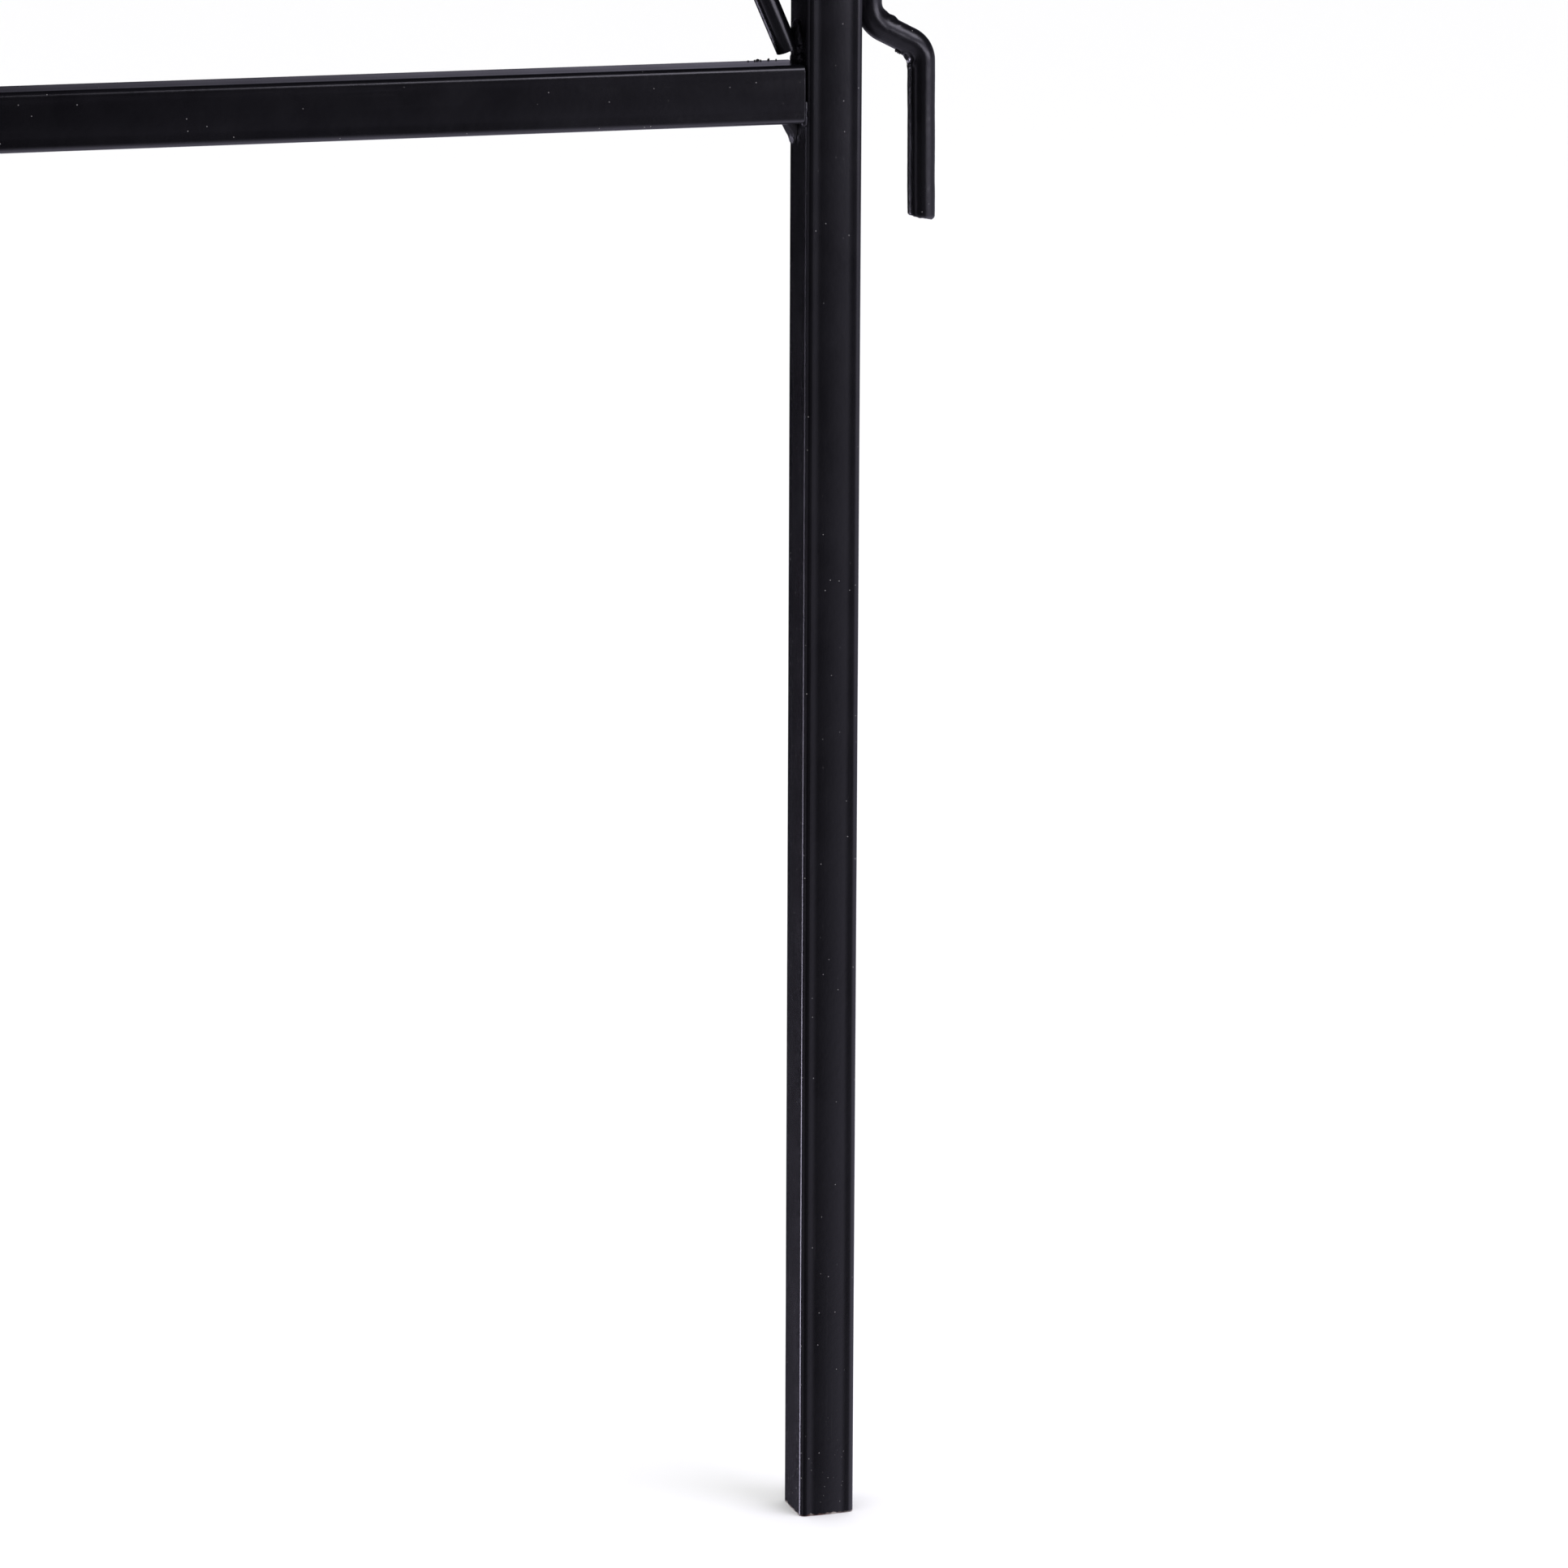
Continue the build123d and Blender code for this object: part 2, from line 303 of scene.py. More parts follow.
def bead(bm, start, end, radius, ripple=2.2 * MM, seed=0.0):
    """One run of weld: a lumpy, rippled, round-ended bead from start to end."""
    start, end = Vector(start), Vector(end)
    along = end - start
    full = along.length + 2 * radius
    along.normalize()
    side = along.cross(UP if abs(along.z) < 0.9 else Vector((1, 0, 0))).normalized()
    other = along.cross(side)
    steps = max(14, int(full / BEAD_STEP))
    rings = []
    for k in range(steps + 1):
        s = full * k / steps
        reach = min(s, full - s)
        cap = 1.0 if reach >= radius else math.sqrt(max(0.0, 1 - (1 - reach / radius) ** 2))
        wave = 1 + BEAD_WAVE * math.sin(FULL_TURN * s / ripple + 1.3 * seed)
        centre = start + along * (s - radius)
        ring = []
        for out in directions(BEAD_SIDES, side, other):
            spot = centre + out * radius + Vector((seed, seed * 0.7, 0))
            lump = 1 + 0.16 * noise.noise(spot * 420) + 0.07 * noise.noise(spot * 1100)
            ring.append(centre + out * (radius * max(cap, 0.03) * wave * lump))
        rings.append(ring)
    skin(bm, rings)


def blob(bm, centre, size, seed=0.0, fine=5):
    """A lump of weld metal: a squashed ball whose surface wanders."""
    made = bmesh.ops.create_icosphere(bm, subdivisions=fine, radius=1.0)
    centre, size = Vector(centre), Vector(size)
    for v in made["verts"]:
        out = v.co * size
        spot = out + centre
        lump = 1 + 0.20 * noise.noise(spot * 330 + UP * seed) + 0.08 * noise.noise(spot * 900)
        v.co = centre + out * lump


def bent_path(corners, bends, spacing=0.5 * MM):
    """Points along a rod whose corners are rounded, each with its own bend radius."""
    corners = [Vector(c) for c in corners]
    points = []

    def straight(a, b):
        count = max(2, int((b - a).length / spacing))
        points.extend(a.lerp(b, k / count) for k in range(count))

    last = corners[0]
    for before, corner, after, bend in zip(corners, corners[1:], corners[2:], bends):
        into = (corner - before).normalized()
        out = (after - corner).normalized()
        turn = into.angle(out)
        reach = bend * math.tan(turn / 2)
        bend_start = corner - into * reach
        straight(last, bend_start)
        centre = bend_start + (out - into * into.dot(out)).normalized() * bend
        spoke = bend_start - centre
        axis = into.cross(out).normalized()
        count = max(6, int(bend * turn / spacing))
        for k in range(count):
            points.append(centre + Matrix.Rotation(turn * k / count, 3, axis) @ spoke)
        last = corner + out * reach
    straight(last, corners[-1])
    points.append(corners[-1])
    return points


ROD_SIDES = 48
DULLED_END = 1.1 * MM    # how far in the rod's cut edges are rounded over
SAWN_REACH = 8 * MM      # the slant and unevenness of the tip's cut die out this far in


def forged_rod(bm, corners, bends, radius, slant=0.0, seed=0.0, torn=()):
    """A cold-cut, bent rod: hammered a little, torn near some points, with dulled and slanted ends."""
    points = bent_path(corners, bends)
    rings = []
    last = len(points) - 1
    across_frame = abs(points[0].y - points[-1].y) < MM
    side = Vector((0, 1, 0)) if across_frame else Vector((1, 0, 0))
    for k, point in enumerate(points):
        ahead = (points[min(k + 1, last)] - points[max(k - 1, 0)]).normalized()
        other = ahead.cross(side).normalized()
        from_tip = (points[last] - point).length
        from_end = min(from_tip, (point - points[0]).length)
        dulled = 1 - 0.16 * max(0.0, 1 - from_end / DULLED_END) ** 2
        ring = []
        for out in directions(ROD_SIDES, side, other):
            spot = point + out * radius
            dent = 0.020 * noise.noise(spot * 95 + UP * seed) + 0.007 * noise.noise(spot * 380) - 0.012
            place = point + out * (radius * dulled * (1 + dent))
            for centre, reach, height in torn:
                near = max(0.0, 1 - (spot - Vector(centre)).length / reach)
                scab = max(0.0, 0.10 + noise.noise(spot * 300 + UP * seed)) * min(1.0, 2.2 * near)
                place += out * (height * scab)
            if from_tip < SAWN_REACH:
                saw = slant * other.dot(out) * radius + 0.25 * MM * noise.noise(spot * 700)
                place += ahead * saw * (1 - from_tip / SAWN_REACH) ** 2
            ring.append(place)
        rings.append(ring)
    skin(bm, rings)


# ---------------------------------------------------------------- tubes

CORNER_R = 2.5 * MM
CORNER_STEPS = 14
WALL = 1.2 * MM
CROWN_SLOPE = 0.055      # how far a face leans at the edge of its crown
GROOVE_SLOPE = 0.042     # the shallow rolled groove beside each corner leans back this much
CROWN_HALF = 5.2 * MM    # half width of the crown
GROOVE_HALF = 7.3 * MM   # middle of the groove's outer slope
GROOVE_REACH = (HALF - CORNER_R - CROWN_HALF) / 1.6
FLAT_STEP = 0.2 * MM
BURR = 0.35 * MM         # width of the dulled edge at a sawn end
STATION_STEP = 12 * MM
FACE_WAVE = 0.012 * MM   # unevenness of the rolled faces
RAIL_GAP = 0.5 * MM      # a sawn rail stops this short of a post, and its welds fill the gap


def face_slope(x):
    """Slope of a rolled tube's face at a distance x from the face's middle."""
    size = abs(x)
    fade = min(1.0, max(0.0, (GROOVE_HALF - size) / (GROOVE_HALF - CROWN_HALF)))
    fade = fade * fade * (3 - 2 * fade)
    crown = -CROWN_SLOPE * min(size / CROWN_HALF, 1.0) * fade
    groove = GROOVE_SLOPE * max(0.0, 1 - abs(size - GROOVE_HALF) / GROOVE_REACH)
    return (crown + groove) * (1 if x >= 0 else -1)


def face_heights():
    """Height of the face below its highest line, at even steps across the flat."""
    flat = HALF - CORNER_R
    count = int(round(2 * flat / FLAT_STEP))
    xs = [-flat + 2 * flat * k / count for k in range(count + 1)]
    heights = [0.0]
    for a, b in zip(xs, xs[1:]):
        heights.append(heights[-1] + face_slope((a + b) / 2) * (b - a))
    top = max(heights)
    return [(x, h - top) for x, h in zip(xs, heights)]


def tube_outline(inset=0.0):
    """Points round a tube: rolled faces and round corners outside, plain faces inside."""
    corner_at = HALF - CORNER_R
    face = face_heights() if inset == 0 else [(-corner_at, 0.0), (corner_at, 0.0)]
    reach = CORNER_R - inset + face[-1][1]
    points = []
    for quarter in range(4):
        turn = Matrix.Rotation(-math.pi / 2 * quarter, 2)
        for x, h in face:
            points.append(turn @ Vector((x, HALF - inset + h)))
        for k in range(1, CORNER_STEPS):
            angle = math.pi / 2 * (1 - k / CORNER_STEPS)
            out = Vector((math.cos(angle), math.sin(angle)))
            points.append(turn @ (Vector((corner_at, corner_at)) + out * reach))
    return points


def rolled_tube(node, axis, body, end_gap=0.0):
    """A saw-cut length of roll-formed square tube in place of a plain CAD tube."""
    lo, hi = low(node), high(node)
    lo[axis] += end_gap
    hi[axis] -= end_gap
    heart = (lo + hi) / 2
    across = [i for i in range(3) if i != axis]

    def spot(along, p):
        place = Vector((0, 0, 0))
        place[axis] = along
        place[across[0]] = heart[across[0]] + p.x
        place[across[1]] = heart[across[1]] + p.y
        return place

    def stations():
        """Places along the tube, each with how far the burr draws the outline in."""
        near_end = [(0.0, BURR), (0.3 * BURR, 0.3 * BURR), (BURR, 0.0), (1.2 * BURR, 0.0), (3 * BURR, 0.0)]
        first, last = lo[axis] + 4 * BURR, hi[axis] - 4 * BURR
        count = max(8, int((hi[axis] - lo[axis]) / STATION_STEP))
        run = [(first + (last - first) * k / count, 0.0) for k in range(count + 1)]
        start = [(lo[axis] + step, drop) for step, drop in near_end]
        end = [(hi[axis] - step, drop) for step, drop in reversed(near_end)]
        return start + run + end

    def build(bm):
        outer = []
        for along, drop in stations():
            ring = []
            for p in tube_outline():
                place = spot(along, p * (1 - drop / HALF))
                wave = FACE_WAVE * noise.noise(place * 40)
                out = spot(along, p.normalized() * wave) - spot(along, Vector((0, 0)))
                ring.append(bm.verts.new(place + out))
            outer.append(ring)
        inner = [[bm.verts.new(spot(along, p)) for p in tube_outline(WALL)] for along in (lo[axis], hi[axis])]
        wall(bm, outer)
        # the bore's faces wind the other way, so that the rims bridge straight across
        for (a1, a2), (b1, b2) in zip(round_and_round(inner[0]), round_and_round(inner[1])):
            bm.faces.new((a2, a1, b1, b2))
        for ring, bore in ((outer[0], inner[0]), (outer[-1], inner[1])):
            rims = list(round_and_round(ring)) + list(round_and_round(bore))
            bmesh.ops.bridge_loops(bm, edges=[bm.edges.get(pair) for pair in rims])

    material = (coat_across, coat_deep, coat_upright)[axis]
    made = piece(f"{node}_rolled", build, body, node, material)
    made.data.set_sharp_from_angle(angle=math.radians(50))


TUBES = (
    ("right_post", 2, "front_frame", 0.0),
    ("left_post", 2, "front_frame", 0.0),
    ("bottom_rail", 0, "front_frame", RAIL_GAP),
    ("top_rail", 0, "front_frame", RAIL_GAP),
    ("right_side_bar", 1, "file_frame", 0.0),
    ("left_side_bar", 1, "file_frame", 0.0),
    ("rear_leg", 2, "rear_stand", 0.0),
    ("head_bar", 0, "rear_stand", 0.0),
)
for node, axis, body, end_gap in TUBES:
    rolled_tube(node, axis, body, end_gap)


# ---------------------------------------------------------------- hooks

JOG_BELOW_TOP = 50.6 * MM        # from a coupling hook's top down to where its jog begins
JOG_DROP = 10.4 * MM
JOG_BENDS = (11.0 * MM, 8.5 * MM)
PIN_LEAN = 0.6 * MM              # the pin's tip stands out this much further than its top
FILE_HOOK_BEND = 15 * MM


def crust(bm, start, end, count, largest, seed):
    """A ragged row of small lumps of coat and scale from start to end."""
    for k in range(count):
        uneven = 0.5 + abs(noise.noise(Vector((k * 2.3, 0.4, seed))))
        size = largest * min(1.0, uneven)
        blob(bm, start.lerp(end, k / (count - 1)), (size * 0.8, size * 0.8, size * 1.2), seed=k * 1.7, fine=2)


def coupling_hook(level):
    node = f"{level}_coupling_hook"
    lo, hi = low(node), high(node)
    run_x = lo.x + ROD_R
    pin_x = hi.x - ROD_R
    jog_top = hi.z - JOG_BELOW_TOP
    jog_end = Vector((pin_x - PIN_LEAN, FRAME_Y, jog_top - JOG_DROP))
    corners = [(run_x, FRAME_Y, hi.z), (run_x, FRAME_Y, jog_top), jog_end, (pin_x, FRAME_Y, lo.z)]
    shoulder = Vector((run_x + 11 * MM, FRAME_Y, jog_top + 2.5 * MM))
    armpit = jog_end + Vector((-6.5 * MM, 0, -4 * MM))
    torn = [(shoulder, 6.5 * MM, 1.3 * MM), (armpit, 5.0 * MM, 2.0 * MM)]

    def build(bm):
        forged_rod(bm, corners, JOG_BENDS, ROD_R, slant=0.16, seed=hi.z * 40, torn=torn)
        seam = jog_end + Vector((-0.90 * ROD_R, -0.42 * ROD_R, 0))
        crust(bm, seam - UP * 5 * MM, seam - UP * 22 * MM, 17, 0.62 * MM, hi.z * 9)
        corner = jog_end + Vector((-4.8 * MM, -0.5 * MM, -3.4 * MM))
        crust(bm, corner, corner + Vector((-5.2 * MM, 0, 2.3 * MM)), 8, 0.85 * MM, hi.z * 7)
        crust(bm, corner, corner - UP * 4 * MM, 5, 0.80 * MM, hi.z * 5)

    piece(f"{level}_coupling_hook_bent", build, "front_frame", node, coat_rod)


for level in ("lower", "upper"):
    coupling_hook(level)


def file_hook(side, end, inward):
    node = f"{side}_{end}_file_hook"
    lo, hi = low(node), high(node)
    x = (lo.x + hi.x) / 2
    run_z = hi.z - ROD_R
    pin_y = lo.y + ROD_R if inward > 0 else hi.y - ROD_R
    far_y = hi.y if inward > 0 else lo.y
    corners = [(x, far_y, run_z), (x, pin_y, run_z), (x, pin_y, lo.z)]

    def build(bm):
        forged_rod(bm, corners, (FILE_HOOK_BEND,), ROD_R, slant=0.10, seed=x * 30 + inward)

    piece(f"{node}_bent", build, "file_frame", node, coat_rod)


for side, _ in SIDES:
    file_hook(side, "front", 1)
    file_hook(side, "rear", -1)


# ---------------------------------------------------------------- welds

FILLET_STEPS = 60
FILLET_FACE_STEPS = 12
FILLET_RIPPLE = 2.0 * MM
FILLET_ROOT = -0.12              # how far a fillet's root is sunk in the corner, in legs
EYE_BEAD_GAP = 5.0 * MM          # from an eye's middle to its beads
EYE_BEAD_LENGTH = 17 * MM
EYE_BEAD_R = 2.0 * MM
HOOK_BEAD_R = 2.1 * MM
BRACE_BEAD_R = 1.7 * MM


def fillet_bead(bm, corner, leg_a, leg_b, half_length, seed):
    """A fillet in the corner of two faces: its hollow, rippled face spans from leg_a to leg_b."""
    corner, leg_a, leg_b = Vector(corner), Vector(leg_a), Vector(leg_b)
    along = leg_a.cross(leg_b).normalized()
    root = FILLET_ROOT * (leg_a + leg_b)
    rings = []
    for k in range(FILLET_STEPS + 1):
        t = -1 + 2 * k / FILLET_STEPS
        end = max(0.0, 1 - abs(t) ** 3.5) ** 0.5
        centre = corner + along * (t * half_length)
        ripple = 1 + 0.07 * math.sin(FULL_TURN * t * half_length / FILLET_RIPPLE + seed)
        a = leg_a * (end * ripple * (1 + 0.22 * noise.noise(centre * 300 + UP * seed)))
        b = leg_b * (end * ripple * (1 + 0.22 * noise.noise(centre * 300 - UP * seed)))
        ring = []
        for i in range(FILLET_FACE_STEPS + 1):
            u = i / FILLET_FACE_STEPS
            bow = 0.55 * u * (1 - u) * (1 + 0.6 * noise.noise(centre * 500 + Vector((u * 3, seed, 0))))
            ring.append(centre + a * (1 - u) + b * u - (a + b) * bow * 0.5)
        ring.append(centre + root + leg_b * 0.5 * end)
        ring.append(centre + root)
        ring.append(centre + root + leg_a * 0.5 * end)
        rings.append(ring)
    skin(bm, rings)


def spatter(bm, centre, spread, count, seed):
    """Small beads of weld spatter that stick up from a face around centre."""
    for k in range(count):
        drift = [noise.noise(Vector((k * 7.3 + seed, i * 3.1, 0.5))) for i in range(3)]
        jump = Vector([2.2 * step * reach for step, reach in zip(drift, spread)])
        size = (0.24 + 0.40 * abs(noise.noise(Vector((k * 1.7, seed, 2.2))))) * MM
        blob(bm, Vector(centre) + jump, (size, size, size), seed=k + seed, fine=2)


def bead_each_way(bm, centre, reach, radius, seed):
    """A bead that runs from its centre by reach both ways."""
    bead(bm, centre - reach, centre + reach, radius, seed=seed)


def rod_on_face(bm, centre, along, across, out, gap, length, radius, seed):
    """Two beads in the grooves on either side of a rod that lies on a flat face."""
    for facing in (1, -1):
        corner = Vector(centre) + Vector(across) * (facing * gap) + Vector(out) * (0.9 * MM)
        bead_each_way(bm, corner, Vector(along) * (length / 2), radius, seed + facing)


def eye_on_face(bm, centre, across, out, seed):
    rod_on_face(bm, centre, UP, across, out, EYE_BEAD_GAP, EYE_BEAD_LENGTH, EYE_BEAD_R, seed)


def rail_weld_beads(bm):
    for side, sign in SIDES:
        face = middle(f"{side}_post").x - sign * HALF
        for rail, seed in (("bottom_rail", 1), ("top_rail", 2)):
            under = low(rail).z
            leg_a = (-sign * 5.8 * MM, 0, 0)
            leg_b = (0, 0, -9.0 * MM)
            fillet_bead(bm, (face, FRAME_Y + 5.4 * MM, under), leg_a, leg_b, HALF / 2, seed + sign)
            toe = Vector((face - sign * 0.3 * MM, FRAME_Y + 1.2 * MM, under - 1.2 * MM))
            toe_end = toe + Vector((0, 1.6 * MM, -6.6 * MM))
            bead(bm, toe, toe_end, 0.8 * MM, ripple=2.4 * MM, seed=seed * 7 + sign)
            front = Vector((face - sign * 0.4 * MM, FRAME_Y - HALF + 1.5 * MM, under + 5.0 * MM))
            front_low, front_high = front - UP * 4.5 * MM, front + UP * 2.5 * MM
            bead(bm, front_low, front_high, 1.2 * MM, ripple=3.1 * MM, seed=seed * 5 + sign)
        rear_edge = (face - sign * 12 * MM, FRAME_Y + 0.75 * HALF, high("bottom_rail").z)
        spatter(bm, rear_edge, (7 * MM, 1.6 * MM, 0), 12, 13 + sign)


def brace_weld_beads(bm):
    top = high("bottom_rail").z
    under = low("top_rail").z
    for side, sign in SIDES:
        face = middle(f"{side}_post").x - sign * HALF
        tall = (face - sign * 0.3 * MM, FRAME_Y, top + 7.6 * MM)
        blob(bm, tall, (2.6 * MM, 5.2 * MM, 7.6 * MM), seed=3 + sign)
        squat = (face - sign * 0.2 * MM, FRAME_Y, top + 1.2 * MM)
        blob(bm, squat, (2.2 * MM, 6.0 * MM, 3.4 * MM), seed=7 + sign)
        brace_top = low(f"{side}_brace").x + BRACE_R if sign > 0 else high(f"{side}_brace").x - BRACE_R
        for facing in (1, -1):
            corner = Vector((brace_top, FRAME_Y + facing * BRACE_R, under - 0.6 * MM))
            bead_each_way(bm, corner, Vector((4 * MM, 0, 0)), BRACE_BEAD_R, 5 + sign + facing)


def hook_weld_beads(bm):
    face = middle("right_post").x + HALF
    for level in ("lower", "upper"):
        centre = Vector((face, FRAME_Y, high(f"{level}_coupling_hook").z - 22 * MM))
        seed = 11 + centre.z * 9
        rod_on_face(bm, centre, UP, (0, 1, 0), (1, 0, 0), ROD_R * 0.92, 28 * MM, HOOK_BEAD_R, seed)


def eye_weld_beads(bm):
    for level in ("lower", "upper"):
        centre = middle(f"{level}_coupling_eye")
        centre.x = middle("left_post").x - HALF
        eye_on_face(bm, centre, (0, 1, 0), (-1, 0, 0), 21 + centre.z * 9)
    for side, sign in SIDES:
        centre = middle(f"{side}_file_eye")
        centre.y = FRAME_Y + HALF
        eye_on_face(bm, centre, (1, 0, 0), (0, 1, 0), 31 + sign)


def file_frame_weld_beads(bm):
    for side, sign in SIDES:
        bar = middle(f"{side}_side_bar")
        face = bar.x - sign * HALF
        for rail, seed in (("front_file_rail", 1), ("rear_file_rail", 2)):
            for facing in (1, -1):
                corner = Vector((face - sign * 0.5 * MM, middle(rail).y + facing * 2.0 * MM, bar.z))
                bead_each_way(bm, corner, UP * 6 * MM, 1.5 * MM, seed * 3 + facing + sign)
        for end, inward in (("front", 1), ("rear", -1)):
            hook = middle(f"{side}_{end}_file_hook")
            hook.z = low(f"{side}_side_bar").z
            hook.y += inward * 10 * MM
            gap, length = ROD_R * 0.92, 34 * MM
            rod_on_face(bm, hook, (0, 1, 0), (1, 0, 0), (0, 0, -1), gap, length, HOOK_BEAD_R, 41 + sign)


def rear_stand_weld_beads(bm):
    under = low("head_bar").z
    leg_x = middle("rear_leg").x
    for side, sign in SIDES:
        corner = Vector((leg_x + sign * (HALF + 1.0 * MM), REAR_Y, under - 1.2 * MM))
        bead_each_way(bm, corner, Vector((0, HALF - 4 * MM, 0)), 2.8 * MM, 51 + sign)
        centre = middle(f"{side}_rear_eye")
        centre.y = REAR_Y - HALF
        eye_on_face(bm, centre, (1, 0, 0), (0, -1, 0), 61 + sign)
        brace = f"{side}_rear_brace"
        out_x = high(brace).x if sign > 0 else low(brace).x
        for facing in (1, -1):
            groove_y = REAR_Y + facing * BRACE_R
            top = Vector((out_x - sign * 6 * MM, groove_y, under - 0.6 * MM))
            bead_each_way(bm, top, Vector((4 * MM, 0, 0)), BRACE_BEAD_R, 71 + facing + sign)
            foot = Vector((leg_x + sign * (HALF + 0.6 * MM), groove_y, low(brace).z + 8 * MM))
            bead_each_way(bm, foot, UP * 5 * MM, BRACE_BEAD_R, 81 + facing + sign)


for node, build, body in (
    ("rail_welds", rail_weld_beads, "front_frame"),
    ("brace_welds", brace_weld_beads, "front_frame"),
    ("hook_welds", hook_weld_beads, "front_frame"),
    ("eye_welds", eye_weld_beads, "front_frame"),
    ("file_frame_welds", file_frame_weld_beads, "file_frame"),
    ("rear_stand_welds", rear_stand_weld_beads, "rear_stand"),
):
    piece(node.replace("_welds", "_weld_beads"), build, body, node, coat_weld)


# ---------------------------------------------------------------- camera

CAMERA_YAW = math.radians(18.13)
CAMERA_PITCH = math.radians(12.99)
CAMERA_ROLL = math.radians(0.227)
CAMERA_DISTANCE = 2.450
CAMERA_LENS = 149.07
AIM = Vector((middle("right_post").x - 0.01528, FRAME_Y, 0.28841))


def add_camera():
    data = bpy.data.cameras.new("photo_camera")
    data.sensor_width = 36.0
    data.lens = CAMERA_LENS
    data.clip_end = 100.0
    camera = bpy.data.objects.new("photo_camera", data)
    turn = Euler((math.pi / 2 - CAMERA_PITCH, 0, -CAMERA_YAW), "XYZ").to_matrix()
    turn = turn @ Matrix.Rotation(CAMERA_ROLL, 3, "Z")
    place = AIM + turn @ Vector((0, 0, CAMERA_DISTANCE))
    camera.matrix_world = Matrix.Translation(place) @ turn.to_4x4()
    bpy.context.scene.collection.objects.link(camera)
    bpy.context.scene.camera = camera


add_camera()


# ---------------------------------------------------------------- stage and light

STAGE_REACH = 30.0
BACKDROP_GLOW = 1.04
FLOOR_WHITE = 0.93
ROOM_GLOW = 0.012                # what the gloss sees where the studio has nothing
ROOM_COLOR = (0.82, 0.78, 1.0, 1)
BOX_COLOR = (0.88, 0.85, 1.0)
BOX_DISTANCE = 2.6
HEART = Vector((middle("right_post").x, FRAME_Y, 0.5))    # what the soft boxes face


def stage_material(name):
    material = bpy.data.materials.new(name)
    material.use_nodes = True
    return material, material.node_tree.nodes["Principled BSDF"].inputs


def add_stage(name, mesh, material):
    """A stage piece lights and backs the object, but never shows up in its gloss."""
    mesh.materials.append(material)
    made = bpy.data.objects.new(name, mesh)
    bpy.context.scene.collection.objects.link(made)
    made.visible_glossy = False
    return made


def add_floor():
    mesh = bpy.data.meshes.new("floor")
    corners = [(-1, -1), (1, -1), (1, 1), (-1, 1)]
    mesh.from_pydata([(x * STAGE_REACH, y * STAGE_REACH, 0) for x, y in corners], [], [(0, 1, 2, 3)])
    material, inputs = stage_material("floor_white")
    inputs["Base Color"].default_value = (FLOOR_WHITE, FLOOR_WHITE, FLOOR_WHITE, 1)
    inputs["Roughness"].default_value = 0.9
    inputs["Specular IOR Level"].default_value = 0.0
    add_stage("floor", mesh, material)


def add_backdrop():
    """A white dome around everything, which the camera and the floor see."""
    bm = bmesh.new()
    bmesh.ops.create_uvsphere(bm, u_segments=48, v_segments=24, radius=STAGE_REACH * 0.9)
    bmesh.ops.reverse_faces(bm, faces=bm.faces)
    mesh = bpy.data.meshes.new("backdrop")
    bm.to_mesh(mesh)
    bm.free()
    material, inputs = stage_material("backdrop_white")
    inputs["Base Color"].default_value = (0, 0, 0, 1)
    inputs["Emission Color"].default_value = (1, 1, 1, 1)
    inputs["Emission Strength"].default_value = BACKDROP_GLOW
    add_stage("backdrop", mesh, material).visible_shadow = False


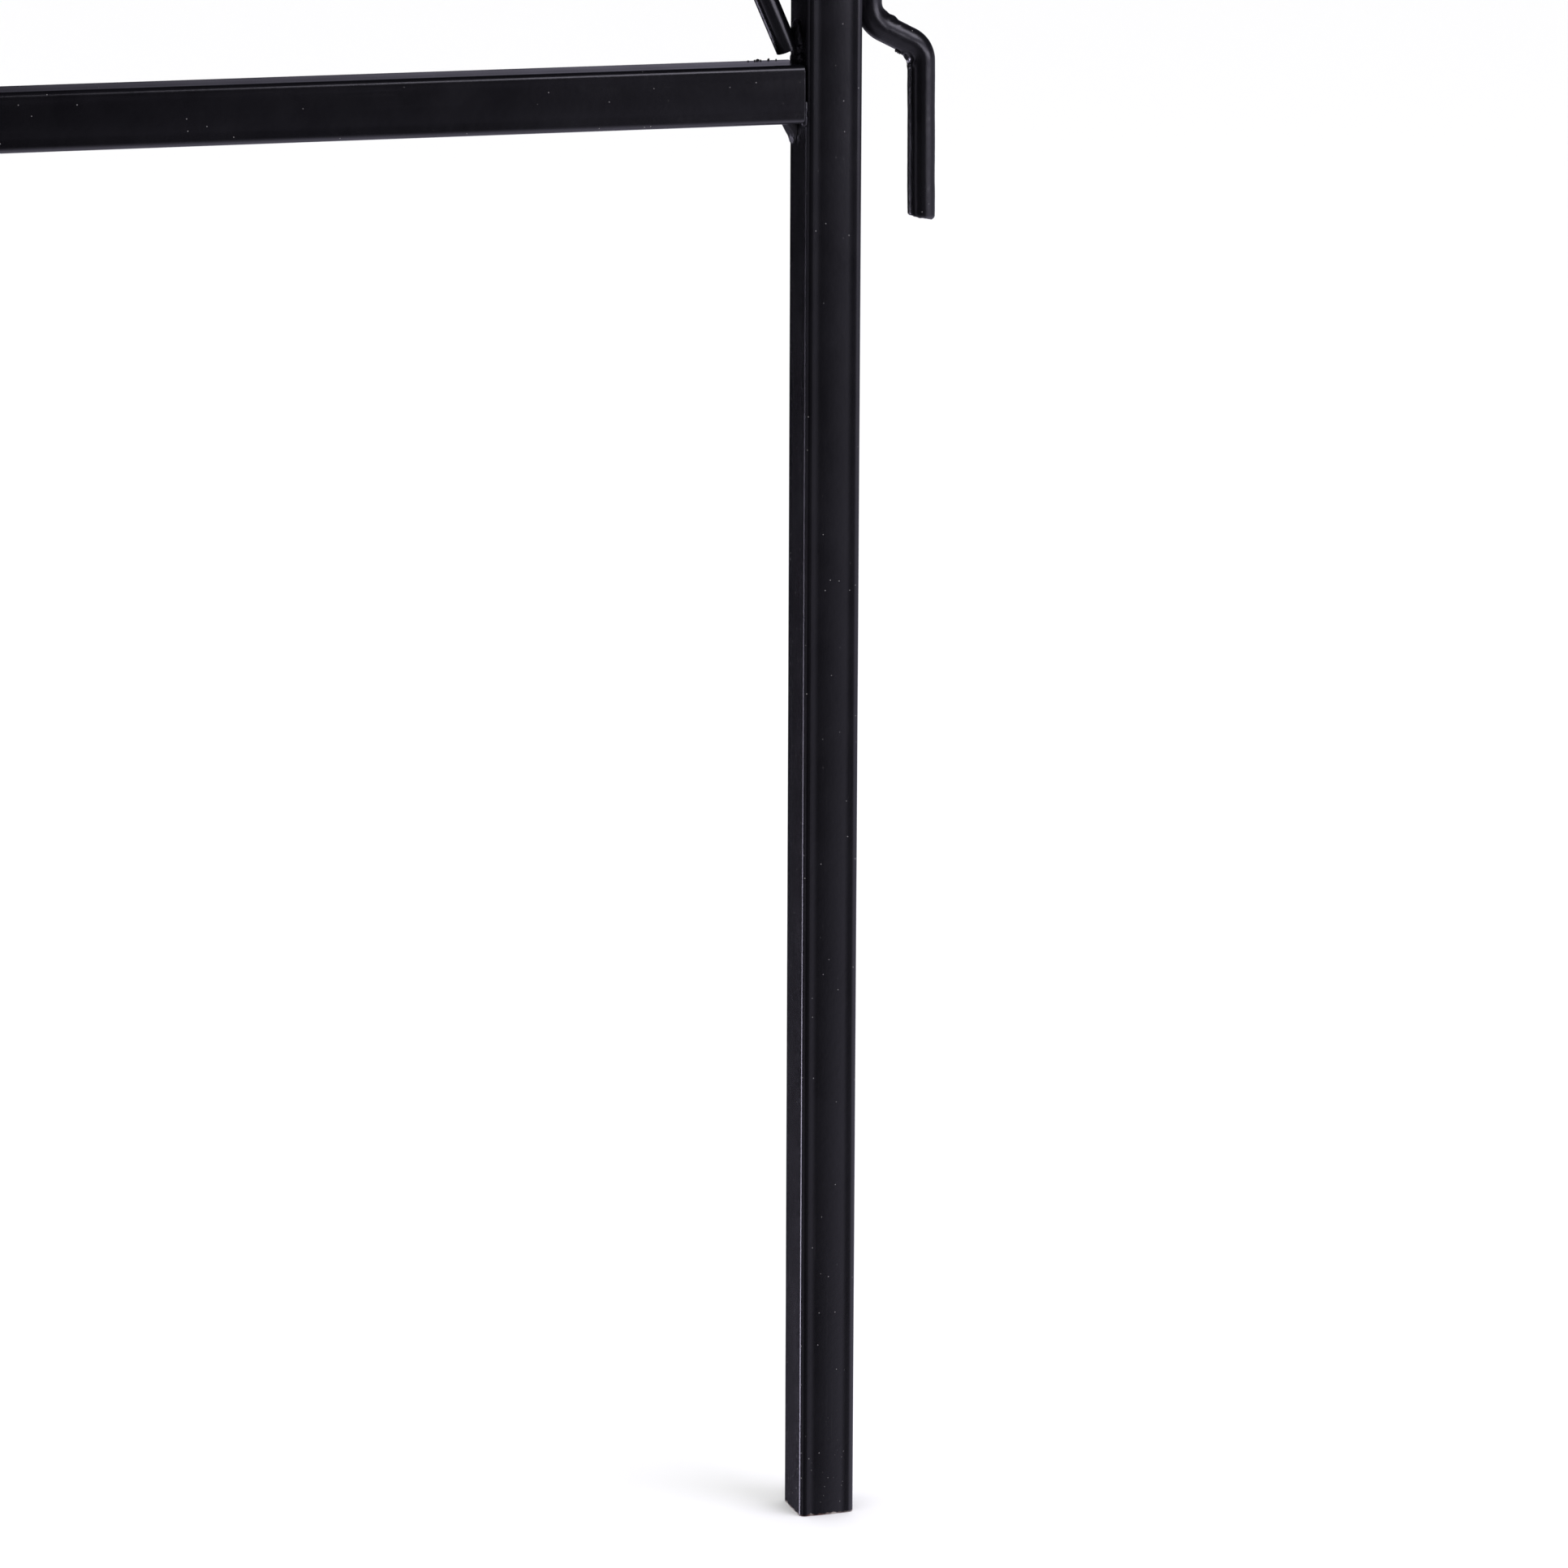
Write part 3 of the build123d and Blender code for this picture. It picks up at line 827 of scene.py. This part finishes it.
def add_world():
    """The dim studio that only the gloss sees: walls mostly on the right, and a floor in the distance.

    Angles are in degrees. Around is 0 in front of the rack and + to its right; up is above the horizon.
    """
    world = bpy.data.worlds.new("studio")
    bpy.context.scene.world = world
    world.cycles.sampling_method = "NONE"
    s = Shader(world)
    x, y, z = s.parts(s.direction)
    around = s.math("DEGREES", s.math("ARCTAN2", x, s.math("MULTIPLY", y, -1.0)))
    up = s.math("DEGREES", s.math("ARCSINE", z))

    def window(start, end, soft):
        opened = s.ramp(around, start - soft, start + soft)
        closed = s.ramp(around, end - soft, end + soft, 1.0, 0.0)
        return s.math("MULTIPLY", opened, closed)

    def part(strength, *factors):
        for factor in factors:
            strength = s.math("MULTIPLY", factor, strength)
        return strength

    below_eye = s.ramp(up, -2, 10, 1.0, 0.10)
    studio = (
        # the right wall, brighter towards the floor and ending behind the rack
        part(0.66, s.ramp(around, 13.5, 27), s.ramp(around, 70, 125, 1.0, 0.70),
             s.ramp(around, 138, 150, 1.0, 0.0), below_eye, s.ramp(up, -18, -8, 1.25, 0.66)),
        part(0.36, window(40, 78, 10), below_eye),
        # behind the rack, which the rails' top faces reflect
        part(0.34, window(145, 166, 6), s.ramp(up, 25, 45, 1.0, 0.0)),
        # the floor: a little in front, more below, and a lit patch behind on the left
        part(0.08, s.ramp(up, -19, -8, 1.0, 0.0)),
        part(0.34, s.ramp(up, -42, -25, 1.0, 0.0)),
        part(14.0, window(-139, -124, 2), s.ramp(up, -17, -10, 1.0, 0.0), s.ramp(up, -32, -26)),
        # strips on the left, behind and in front, for faces that would reflect nothing
        part(0.75, window(-69, -61, 2), s.ramp(up, -19, -13, 1.4, 1.0)),
        part(0.26, window(-99, -81, 4)),
        part(0.22, s.ramp(s.math("ABSOLUTE", around), 175, 179)),
        part(0.13, window(-9, 0, 4)),
        # a dim panel between the two soft boxes
        part(0.8, window(25, 60, 8), s.ramp(up, 4, 9), s.ramp(up, 24, 32, 1.0, 0.0)),
    )
    glow = ROOM_GLOW
    for one in studio:
        glow = s.math("ADD", one, glow)
    background = s.tree.nodes["Background"]
    s.feed(background.inputs["Strength"], glow)
    background.inputs["Color"].default_value = ROOM_COLOR


def add_soft_box(name, azimuth, elevation, width, height, radiance):
    """A soft box that faces the rack; azimuth 0 is straight in front, + to the right, in degrees."""
    a, e = math.radians(azimuth), math.radians(elevation)
    outward = Vector((math.sin(a) * math.cos(e), -math.cos(a) * math.cos(e), math.sin(e)))
    data = bpy.data.lights.new(name, "AREA")
    data.shape = "RECTANGLE"
    data.size = width
    data.size_y = height
    data.energy = radiance * math.pi * width * height
    data.color = BOX_COLOR
    light = bpy.data.objects.new(name, data)
    turn = (-outward).to_track_quat("-Z", "Y").to_matrix().to_4x4()
    light.matrix_world = Matrix.Translation(HEART + BOX_DISTANCE * outward) @ turn
    light.visible_camera = False
    bpy.context.scene.collection.objects.link(light)


add_floor()
add_backdrop()
add_world()
add_soft_box("key_low", 43, 3, 1.7, 0.40, 4.8)
add_soft_box("key_high", 39, 40, 1.8, 1.10, 4.6)
bpy.context.scene.view_settings.view_transform = "Standard"
bpy.context.scene.view_settings.look = "None"
